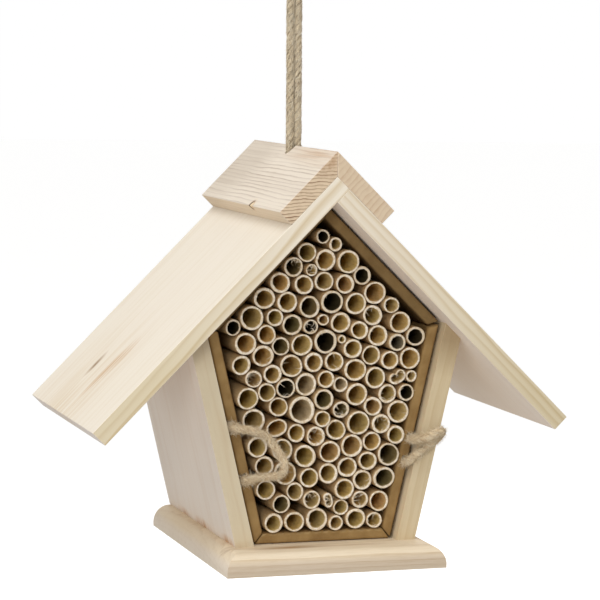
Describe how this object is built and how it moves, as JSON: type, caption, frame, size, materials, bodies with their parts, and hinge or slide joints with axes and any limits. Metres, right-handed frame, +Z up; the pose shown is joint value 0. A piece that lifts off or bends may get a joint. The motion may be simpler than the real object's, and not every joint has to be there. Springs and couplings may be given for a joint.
{
  "type": "insect hotel",
  "caption": "Hanging wooden bee house with a saddle roof and a slide-out cardboard tray of cut reeds for solitary bees",
  "frame": {"origin": "under the middle of the house's footprint, on the underside of the base board", "axes": "+Z up towards the hanging loop, +Y towards the closed back, +X to the right seen from the open front; the reeds' openings look along -Y"},
  "size_m": [0.2206, 0.141, 0.3011],
  "materials": {
    "base_wood": "raw planed pine, fine straight grain",
    "wall_wood": "raw planed pine",
    "back_wood": "raw planed pine",
    "roof_wood": "raw sanded pine with a few small knots",
    "ridge_wood": "raw sawn pine with marked growth rings",
    "tray_card": "plain kraft board, matt",
    "cut_reed": "dry reed, rough cut ends, satin outside",
    "jute_cord": "twisted natural jute, hairy",
    "jute_twine": "twisted natural jute, hairy",
    "nail_steel": "plain wire nail"
  },
  "bodies": {
    "house": {"base_board": "base_wood", "left_wall": "wall_wood", "right_wall": "wall_wood", "back_board": "back_wood", "left_roof_board": "roof_wood", "right_roof_board": "roof_wood", "left_ridge_board": "ridge_wood", "right_ridge_board": "ridge_wood", "base_nails": "nail_steel", "hanging_cord": "jute_cord", "cord_knot": "jute_cord"},
    "tray": {"tray_floor": "tray_card", "tray_left_side": "tray_card", "tray_right_side": "tray_card", "tray_left_slope": "tray_card", "tray_right_slope": "tray_card", "tray_back": "tray_card", "left_pull_loop": "jute_twine", "right_pull_loop": "jute_twine", "pull_loop_knots": "jute_twine", "reeds_01": "cut_reed", "reeds_02": "cut_reed", "reeds_03": "cut_reed", "reeds_04": "cut_reed", "reeds_05": "cut_reed", "reeds_06": "cut_reed", "reeds_07": "cut_reed", "reeds_08": "cut_reed", "reeds_09": "cut_reed", "reeds_10": "cut_reed", "reeds_11": "cut_reed", "reeds_12": "cut_reed", "reeds_13": "cut_reed", "reeds_14": "cut_reed", "reeds_15": "cut_reed", "reeds_16": "cut_reed"}
  },
  "joints": [
    {"name": "tray_slide", "type": "slide", "parent": "house", "child": "tray", "axis": [0, -1, 0], "range_m": [0, 0.105]}
  ]
}
